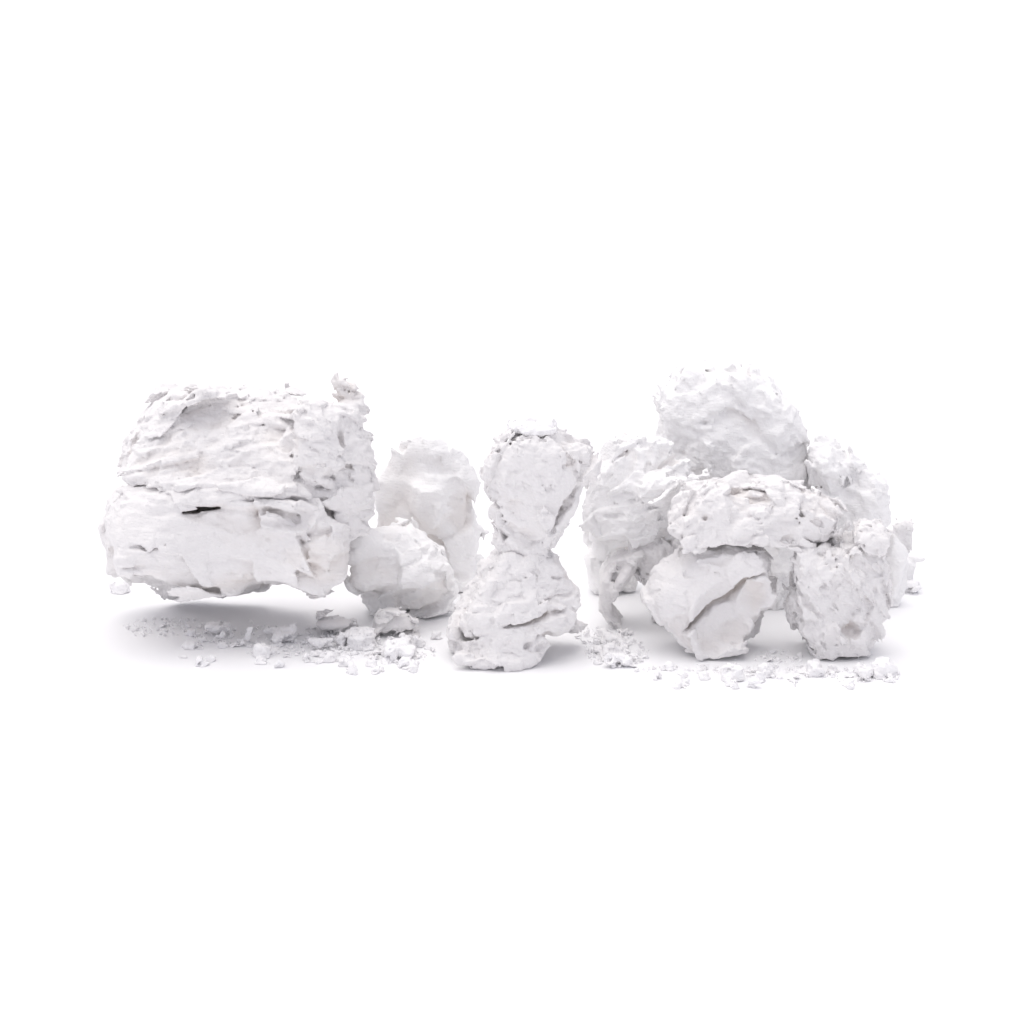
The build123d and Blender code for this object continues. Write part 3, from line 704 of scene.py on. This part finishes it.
def large_upper_shape(field, place):
    """The stepped left end and the horn."""
    field = flat_cut(field, place, spot("large_lump_band", 0.04, 0.45, 0.5), (-0.86, -0.1, 0.5), 0.8)
    field = flat_cut(field, place, spot("large_lump_upper", 0.14, 0.4, 0.8), (-0.62, -0.2, 0.78), 0.8)
    field = soft_join(field, ball(place, spot("large_lump_upper", 0.94, 0.16, 0.52), (5.6, 6.8, 8.6)), 1.5)
    field = soft_join(field, ball(place, spot("large_lump_crest", 0.4, 0.06, 0.38), (7.0, 5.0, 2.8)), 1.5)
    field = flat_cut(field, place, spot("large_lump_crest", 0.53, 0.36, 0.52), (0.08, 0.15, 1.0), 0.6)
    horn_foot = ball(place, spot("large_lump_upper", 0.93, 0.43, 0.79), (6.4, 7.0, 4.4), 10.0)
    horn = ball(place, spot("large_lump_sliver", 0.37, 0.67, 0.83), (4.5, 4.8, 7.6), 10.0)
    return soft_join(soft_join(field, horn_foot, 1.5), horn, 2.0)


UPPER_HOLLOWS = [
    (spot("large_lump_upper", 0.07, 0.28, 0.55), (3.6, 8.0, 1.0), 20.0),
    (spot("large_lump_upper", 0.63, 0.04, 0.88), (4.5, 1.6, 0.6), 26.0),
    (spot("large_lump_upper", 0.39, -0.02, 0.78), (7.0, 1.6, 0.5), 14.0),
    (spot("large_lump_upper", 0.8, 0.13, 0.97), (3.5, 1.4, 0.6), 4.0),
    (spot("large_lump_upper", 0.78, 0.04, 0.78), (4.0, 1.6, 0.7), 18.0),
    (spot("large_lump_sliver", 0.16, 0.39, 0.89), (0.9, 2.2, 3.2), -14.0),
    (spot("large_lump_sliver", 0.34, 0.1, 0.69), (0.6, 2.0, 2.8), -4.0),
]


def prop_shape(field, place):
    """The sloping right shoulder, and the swelling at the left that meets the large lump."""
    field = flat_cut(field, place, spot("prop_lump", 0.8, 0.5, 0.81), (0.75, -0.2, 0.6), 1.5)
    field = soft_join(field, ball(place, spot("prop_lump", 0.13, 0.21, 0.81), (4.0, 4.0, 4.6)), 2.5)
    return soft_join(field, ball(place, spot("prop_lump", 0.14, 0.26, 0.55), (4.6, 4.5, 6.5)), 2.0)


PROP_HOLLOWS = [
    (spot("prop_lump", 0.17, -0.07, 0.72), (6.0, 1.5, 1.1), 56.0),
    (spot("prop_lump", 0.52, -0.02, 0.7), (6.2, 1.2, 0.8), -60.0),
    (spot("prop_lump", 0.68, 0.31, 1.05), (2.4, 1.4, 1.0), -20.0),
]


def middle_lump_shape(field, place):
    """A pyramid's slopes, and its wide left foot."""
    field = flat_cut(field, place, spot("middle_lump", 0.2, 0.51, 0.49), (-0.82, -0.1, 0.57), 1.0)
    field = soft_join(field, ball(place, spot("middle_lump", 0.24, 0.41, 0.02), (5.0, 5.0, 4.0)), 1.5)
    return flat_cut(field, place, spot("middle_lump", 0.89, 0.51, 0.64), (0.8, -0.1, 0.6), 0.8)


MIDDLE_HOLLOWS = [
    (spot("middle_lump", 0.68, 0.05, 0.25), (8.6, 4.0, 0.5), 11.0),
    (spot("middle_lump", 0.27, 0.03, 0.52), (3.6, 3.0, 0.9), -10.0),
    (spot("middle_lump", 0.38, 0.03, 0.53), (5.0, 1.4, 0.5), -6.0),
    (spot("middle_lump", 0.7, 0.21, 0.75), (3.6, 1.2, 0.5), -40.0),
]


def standing_shape(field, place):
    """Flat faces that run in to a narrow foot, and a rounded right shoulder."""
    field = flat_cut(field, place, spot("standing_lump", 0.11, 0.52, 0.25), (-0.9, -0.2, -0.42), 0.6)
    field = flat_cut(field, place, spot("standing_lump", 1.04, 0.52, 0.25), (0.88, -0.1, -0.47), 0.6)
    field = flat_cut(field, place, spot("standing_lump", 0.17, 0.52, 0.9), (-0.7, -0.2, 0.7), 0.6)
    field = soft_join(field, ball(place, spot("standing_lump", 1.03, 0.52, 0.76), (3.2, 5.0, 4.0)), 1.5)
    field = flat_cut(field, place, spot("standing_lump", 0.63, 0.52, 1.0), (0.1, 0.0, 1.0), 0.5)
    return soft_join(field, ball(place, spot("standing_lump", 0.5, 0.52, -0.02), (5.0, 4.5, 3.0)), 1.5)


STANDING_HOLLOWS = [
    (spot("standing_lump", 0.91, 0.09, 0.4), (7.8, 3.6, 0.9), 62.0),
    (spot("standing_lump", 0.96, 0.09, 0.74), (2.0, 1.6, 0.5), 10.0),
]


def scoop_shape(field, place):
    """Flat breaks round the outline, and the rounded top."""
    field = flat_cut(field, place, spot("scoop_lump", 0.16, 0.26, 0.26), (-0.8, -0.1, -0.6), 1.0)
    field = flat_cut(field, place, spot("scoop_lump", 0.93, 0.39, 0.44), (0.9, -0.2, -0.4), 1.0)
    field = flat_cut(field, place, spot("scoop_lump", 0.18, 0.39, 0.81), (-0.5, -0.3, 0.8), 1.5)
    return soft_join(field, ball(place, spot("scoop_lump", 0.73, 0.52, 0.9), (7.5, 6.0, 3.0)), 2.0)


# The hollow lies under a sharp lip that runs up to the right.
SCOOP_HOLLOWS = [
    (spot("scoop_lump", 0.69, 0.06, 0.42), (9.4, 4.4, 4.3), 38.0),
    (spot("scoop_lump", 0.58, 0.13, 0.54), (9.0, 5.6, 0.9), 38.0),
    (spot("scoop_lump", 0.2, 0.06, 0.53), (2.6, 1.0, 0.5), 50.0),
]


def rough_shape(field, place):
    """A narrow foot and a rounded top."""
    field = flat_cut(field, place, spot("rough_lump", 0.12, 0.39, 0.23), (-0.86, -0.2, -0.5), 1.0)
    field = flat_cut(field, place, spot("rough_lump", 0.87, 0.39, 0.13), (0.86, -0.1, -0.5), 1.0)
    return soft_join(field, ball(place, spot("rough_lump", 0.43, 0.52, 0.9), (7.0, 6.0, 3.0)), 2.0)


ROUGH_HOLLOWS = [
    (spot("rough_lump", 0.62, 0.03, 0.32), (2.5, 2.8, 1.4), 14.0),
    (spot("rough_lump", 0.34, 0.0, 0.71), (1.2, 1.4, 0.8), 40.0),
    (spot("rough_lump", 0.43, 0.03, 0.96), (3.0, 1.4, 0.5), -20.0),
    (spot("rough_lump", 0.69, 0.0, 0.64), (2.4, 1.2, 0.5), 50.0),
    (spot("rough_lump", 0.18, 0.06, 0.55), (1.6, 1.4, 0.8), -30.0),
    (spot("rough_lump_cap", 0.06, 0.04, 0.15), (3.0, 1.6, 0.4), 10.0),
]


def cap_shape(field, place):
    """The slopes at both ends."""
    field = flat_cut(field, place, spot("cap_slab", 0.11, 0.51, 0.81), (-0.6, -0.3, 0.8), 1.0)
    return flat_cut(field, place, spot("cap_slab", 0.88, 0.51, 0.87), (0.5, -0.3, 0.8), 1.0)


CAP_HOLLOWS = [
    (spot("cap_slab", 0.2, 0.01, 0.53), (5.0, 2.0, 1.4), -16.0),
    (spot("cap_slab", 0.12, 0.15, 0.61), (4.0, 1.6, 0.6), -28.0),
    (spot("cap_slab", 0.72, 0.01, 0.53), (6.0, 1.8, 0.9), 16.0),
    (spot("cap_slab", 0.55, 0.01, 0.34), (4.0, 1.6, 0.6), 20.0),
    (spot("cap_slab", 0.42, 0.01, -0.03), (9.0, 4.0, 1.2), -6.0),
]


def right_middle_shape(field, place):
    """The grey leaf that stands out over the undercut."""
    grey_leaf = ball(place, spot("right_middle_leaf", 0.51, -0.28, 0.47), (6.0, 4.0, 1.3), 31.0, 32.0)
    return soft_join(field, grey_leaf, 0.6)


RIGHT_MIDDLE_HOLLOWS = [
    (spot("right_middle_lump", 0.59, -0.1, 0.07), (4.4, 2.0, 2.6), 20.0),
    (spot("right_middle_lump", 0.75, -0.34, 0.43), (4.6, 2.6, 1.1), 31.0),
    (spot("right_middle_lump", 0.21, -0.1, 0.3), (4.0, 2.0, 0.7), 10.0),
    (spot("right_middle_lump", 0.34, -0.1, 0.69), (4.0, 1.4, 0.6), -14.0),
]


def arch_shape(field, place):
    """The thin blade that leans up to the right."""
    return soft_join(field, ball(place, spot("arch_shell", 0.45, 0.22, 0.66), (5.6, 3.6, 1.5), 58.0), 0.8)


def core_shape(field, place):
    """The mass behind the blade, up to its left."""
    field = soft_join(field, ball(place, spot("arch_core", 0.05, 0.42, 0.85), (4.6, 4.6, 6.0)), 1.5)
    return soft_join(field, ball(place, spot("arch_core", -0.25, 0.42, 0.96), (4.6, 4.0, 3.6)), 1.5)


def shoulder_shape(field, place):
    """Both rounded ends, and the slope down to the right."""
    field = soft_join(field, ball(place, spot("shoulder_lump", 0.06, 0.31, 0.78), (3.6, 5.0, 8.0)), 2.5)
    field = soft_join(field, ball(place, spot("shoulder_lump", 0.79, 0.31, 0.62), (4.4, 5.0, 6.5)), 2.5)
    return flat_cut(field, place, spot("shoulder_lump", 0.71, 0.31, 0.91), (0.6, -0.1, 0.8), 2.0)


def knob_shape(field, place):
    """The round knob on top, and the slope to its left."""
    field = soft_join(field, ball(place, spot("rear_lump", 0.9, 0.48, 0.91), (5.4, 6.0, 5.4)), 1.5)
    return flat_cut(field, place, spot("rear_lump", 0.56, 0.48, 0.91), (-0.95, 0.0, 0.3), 1.5)


def tall_shape(field, place):
    """The dome's slopes."""
    field = flat_cut(field, place, spot("tall_lump", 0.52, 0.42, 0.94), (0.22, -0.1, 1.0), 1.5)
    return flat_cut(field, place, spot("tall_lump", 0.85, 0.42, 0.82), (0.75, -0.1, 0.7), 2.0)


def edge_ledge_shape(field, place):
    """The flat ledge that sticks out on the right."""
    ledge = ball(place, spot("edge_lower_lump", 0.75, 0.22, 0.87), (3.8, 3.0, 2.0), 4.0)
    return soft_join(field, ledge, 1.0)


def edge_shape(field, place):
    """The overhang on the right."""
    return flat_cut(field, place, spot("edge_upper_lump", 0.89, 0.49, 0.53), (0.95, -0.2, -0.25), 1.0)


TALL_HOLLOWS = [
    (spot("tall_lump", 0.24, 0.04, 0.76), (5.0, 1.6, 1.0), -6.0),
    (spot("tall_lump", 0.56, -0.01, 0.71), (6.0, 1.6, 1.2), -14.0),
    (spot("tall_lump", 0.81, 0.04, 0.65), (2.6, 1.6, 1.4), 20.0),
]
UPPER_NODES = ["large_lump_band", "large_lump_upper", "large_lump_crest", "large_lump_sliver"]
MIDDLE_NODES = ["middle_bottom_sheet", "middle_shelf", "middle_lump"]
STANDING_NODES = ["standing_lump", "standing_wedge"]
ROUGH_NODES = ["rough_lump", "rough_lump_cap"]
RIGHT_MIDDLE_NODES = ["right_middle_lump", "right_middle_leaf"]
REAR_LEFT_NODES = ["rear_left_lump", "rear_left_leaf"]
# Lumps given the lighter chalk are painted lighter, standing in for light from behind the heap and on the
# shaded prop.
broken_piece("large_slab", ["large_lump_base"], SLAB, 100, 0.33, large_slab_shape, SLAB_HOLLOWS)
broken_piece("large_upper", UPPER_NODES, LEAFY, 130, 0.34, large_upper_shape, UPPER_HOLLOWS)
broken_piece("prop", ["prop_lump"], SMOOTH, 160, 0.32, prop_shape, PROP_HOLLOWS, rest=0.0, chalk=back_lit_chalk)
broken_piece("middle", MIDDLE_NODES, SHEETED, 180, 0.27, middle_lump_shape, MIDDLE_HOLLOWS, rest=0.0)
broken_piece("standing", STANDING_NODES, GRANULAR, 200, 0.27, standing_shape, STANDING_HOLLOWS)
broken_piece("scoop", ["scoop_lump"], SMOOTH, 220, 0.28, scoop_shape, SCOOP_HOLLOWS, rest=0.0)
broken_piece("rough", ROUGH_NODES, POROUS, 240, 0.28, rough_shape, ROUGH_HOLLOWS, rest=0.0)
broken_piece("cap", ["cap_slab"], CRUMPLED, 260, 0.28, cap_shape, CAP_HOLLOWS)
broken_piece("right_middle", RIGHT_MIDDLE_NODES, CRUMPLED, 280, 0.3, right_middle_shape,
             RIGHT_MIDDLE_HOLLOWS, chalk=back_lit_chalk)
broken_piece("arch", ["arch_shell"], SHELL, 290, 0.25, arch_shape, rest=0.0)
broken_piece("core", ["arch_core"], GRANULAR, 295, 0.32, core_shape, rest=0.0)
broken_piece("tall", ["tall_lump"], GRANULAR, 300, 0.38, tall_shape, TALL_HOLLOWS, rest=0.0, chalk=back_lit_chalk)
broken_piece("shoulder", ["shoulder_lump"], GRANULAR, 320, 0.38, shoulder_shape, rest=0.0, chalk=back_lit_chalk)
broken_piece("rear", ["rear_lump"], FAR_BACK, 340, 0.45, knob_shape, rest=0.0, chalk=back_lit_chalk)
broken_piece("rear_left", REAR_LEFT_NODES, FAR_BACK, 360, 0.42, rest=0.0, chalk=back_lit_chalk)

# ============================================================================ flakes, pebbles and rubble
# The broad flakes have split into thin leaves. The small ones and the pebbles are whole.
SPLIT_FLAKES = [
    "left_flake_broad",
    "left_flake_middle",
    "left_flake_small",
    "left_flake_thick",
    "gully_flake",
    "front_flat_flake",
    "corner_flake",
    "edge_floor_flake",
]
WHOLE_CHIPS = [
    "left_pebble",
    "far_left_pebble",
    "front_pebble",
    "left_flake_inner",
    "left_chip",
    "front_chip",
    "corner_chip",
]
for n, node in enumerate(SPLIT_FLAKES):
    broken_piece(node + "_broken", [node], FLAKE, 400 + 5 * n, 0.22,
                 lambda field, place, n=n: sheets(field, place, 500 + 7 * n), rest=0.0, fewest=60,
                 chalk=loose_chalk)
for n, node in enumerate(WHOLE_CHIPS):
    broken_piece(node + "_broken", [node], FLAKE, 600 + 5 * n, 0.22, rest=0.0,
                 chalk=loose_chalk)
broken_piece("top_flake_broken", ["top_flake"], FLAKE, 620, 0.2, chalk=loose_chalk)
for n, node in enumerate(["rubble_left", "rubble_right"]):
    broken_piece(node + "_broken", [node], SHEETED, 640 + 9 * n, 0.27, rest=0.0)
# The edge lumps at the back get the lighter chalk too: painted light from behind the heap.
broken_piece("edge_upper_broken", ["edge_upper_lump"], FAR_BACK, 660, 0.32, edge_shape, rest=0.0,
             chalk=back_lit_chalk)
broken_piece("edge_lower_broken", ["edge_lower_lump"], FAR_BACK, 669, 0.32, edge_ledge_shape, rest=0.0,
             chalk=back_lit_chalk)
broken_piece("edge_chip_broken", ["edge_chip"], FLAKE, 680, 0.25)
for n, node in enumerate(["crumbs_left", "crumbs_middle", "crumbs_gully", "crumbs_right"]):
    broken_piece(node + "_broken", [node], FLAKE, 700 + 5 * n, 0.2, rest=0.0, fewest=8,
                 chalk=loose_chalk)

# ============================================================================ powder and crumbs on the bed
KNOCKS_PER_MM = 1.4  # how fine the noise is that knocks crumbs out of round
KNOCK_DEPTH = 1.1  # mm
OVAL_POINTS = 20
OVAL_HEIGHT = 0.15  # mm above the floor


def crumb_tree(material):
    """Geometry nodes that scatter flat crumbs over a surface, many small and few large."""
    tree = bpy.data.node_groups.new("scatter_crumbs", "GeometryNodeTree")
    tree.interface.new_socket("Geometry", in_out="INPUT", socket_type="NodeSocketGeometry")
    for label in ("Crumbs per square metre", "Smallest", "Largest", "Flatness"):
        tree.interface.new_socket(label, in_out="INPUT", socket_type="NodeSocketFloat")
    tree.interface.new_socket("Seed", in_out="INPUT", socket_type="NodeSocketInt")
    tree.interface.new_socket("Geometry", in_out="OUTPUT", socket_type="NodeSocketGeometry")
    given = add_node(tree, "NodeGroupInput").outputs
    points = add_node(tree, "GeometryNodeDistributePointsOnFaces", {
        "Mesh": given["Geometry"], "Density": given["Crumbs per square metre"], "Seed": given["Seed"]})
    chance = add_node(tree, "FunctionNodeRandomValue", {"Seed": given["Seed"]}, data_type="FLOAT")
    rare = add_node(tree, "ShaderNodeMath", {0: chance.outputs[1], 1: 3.0}, operation="POWER")
    size = add_node(tree, "ShaderNodeMapRange", {
        "Value": rare.outputs[0], "To Min": given["Smallest"], "To Max": given["Largest"]})
    build = add_node(tree, "FunctionNodeRandomValue", {
        0: (0.6, 0.5, 0.7), 1: (1.4, 1.1, 1.3), "Seed": 3}, data_type="FLOAT_VECTOR")
    flat = add_node(tree, "ShaderNodeCombineXYZ", {0: 1.0, 1: 1.0, 2: given["Flatness"]})
    shape = add_node(tree, "ShaderNodeVectorMath", {
        0: build.outputs[0], 1: flat.outputs[0]}, operation="MULTIPLY")
    sized = add_node(tree, "ShaderNodeVectorMath", {
        0: shape.outputs[0], "Scale": size.outputs[0]}, operation="SCALE")
    turn = add_node(tree, "FunctionNodeRandomValue", {
        0: (-0.5, -0.5, 0.0), 1: (0.5, 0.5, 6.28), "Seed": 4}, data_type="FLOAT_VECTOR")
    crumb = add_node(tree, "GeometryNodeMeshIcoSphere", {"Radius": 0.5, "Subdivisions": 1})
    placed = add_node(tree, "GeometryNodeInstanceOnPoints", {
        "Points": points.outputs["Points"], "Instance": crumb.outputs["Mesh"],
        "Rotation": turn.outputs[0], "Scale": sized.outputs[0]})
    solid = add_node(tree, "GeometryNodeRealizeInstances", {"Geometry": placed.outputs[0]})
    knock = add_node(tree, "ShaderNodeTexNoise", {"Scale": KNOCKS_PER_MM / MM, "Detail": 1.0})
    centred = add_node(tree, "ShaderNodeVectorMath", {
        0: knock.outputs["Color"], 1: (0.5, 0.5, 0.35)}, operation="SUBTRACT")
    offset = add_node(tree, "ShaderNodeVectorMath", {
        0: centred.outputs[0], "Scale": KNOCK_DEPTH * MM}, operation="SCALE")
    chipped = add_node(tree, "GeometryNodeSetPosition", {
        "Geometry": solid.outputs[0], "Offset": offset.outputs[0]})
    done = add_node(tree, "GeometryNodeSetMaterial", {"Geometry": chipped.outputs[0], "Material": material})
    tree.links.new(done.outputs[0], add_node(tree, "NodeGroupOutput").inputs["Geometry"])
    return tree


def patches(places):
    """Flat ovals just above the surface, each from its middle and half sizes in mm."""
    points, faces = [], []
    for x, y, along, across in places:
        faces.append([len(points) + n for n in range(OVAL_POINTS)])
        for n in range(OVAL_POINTS):
            t = 2 * math.pi * n / OVAL_POINTS
            corner = (x + along * math.cos(t), y + across * math.sin(t), OVAL_HEIGHT)
            points.append([p * MM for p in corner])
    mesh = bpy.data.meshes.new("patches")
    mesh.from_pydata(points, [], faces)
    return mesh


def scattered(name, places, tree, inputs):
    """Crumbs from the tree over the given ovals, as one plain mesh that stays on the heap's bed."""
    source = bpy.data.objects.new("source", patches(places))
    bpy.context.scene.collection.objects.link(source)
    modifier = source.modifiers.new("scatter", "NODES")
    modifier.node_group = tree
    for item in tree.interface.items_tree:
        if item.in_out == "INPUT" and item.name in inputs:
            modifier[item.identifier] = inputs[item.name]
    bpy.context.view_layer.update()
    mesh = bpy.data.meshes.new_from_object(source.evaluated_get(bpy.context.evaluated_depsgraph_get()))
    bpy.data.objects.remove(source)
    mesh.materials.clear()  # new_piece sets the same material
    piece = new_piece(name, mesh, loose_chalk)
    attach(piece, "heap_bed")
    print(f"{name}: {len(mesh.polygons)} faces")


# Where powder and flakes have collected: the middle and half sizes of each oval, in mm.
POWDER = [
    (-42.0, -4.0, 17.0, 6.5),
    (-28.0, -8.0, 9.0, 8.0),
    (-34.0, -13.0, 14.0, 4.0),
    (-20.0, -15.0, 6.0, 6.0),
    (18.0, -13.0, 6.0, 9.0),
    (16.0, -4.0, 5.0, 6.0),
    (46.5, -18.0, 4.5, 6.0),
    (48.0, -25.0, 12.0, 3.5),
    (60.0, -27.0, 7.0, 4.0),
    (30.0, -24.0, 9.0, 3.0),
    (-64.0, 2.0, 8.0, 6.0),
]
FLAKES = [
    (-38.0, -9.0, 14.0, 6.0),
    (-24.0, -14.0, 8.0, 6.0),
    (19.0, -17.0, 4.0, 6.0),
    (50.0, -26.0, 13.0, 3.0),
    (45.0, -20.0, 4.0, 4.0),
]
crumbs = crumb_tree(loose_chalk)
scattered("powder", POWDER, crumbs, {
    "Crumbs per square metre": 9e5, "Smallest": 0.22 * MM, "Largest": 1.1 * MM, "Flatness": 0.7, "Seed": 3})
scattered("loose_flakes", FLAKES, crumbs, {
    "Crumbs per square metre": 9e4, "Smallest": 1.0 * MM, "Largest": 3.4 * MM, "Flatness": 0.25, "Seed": 8})
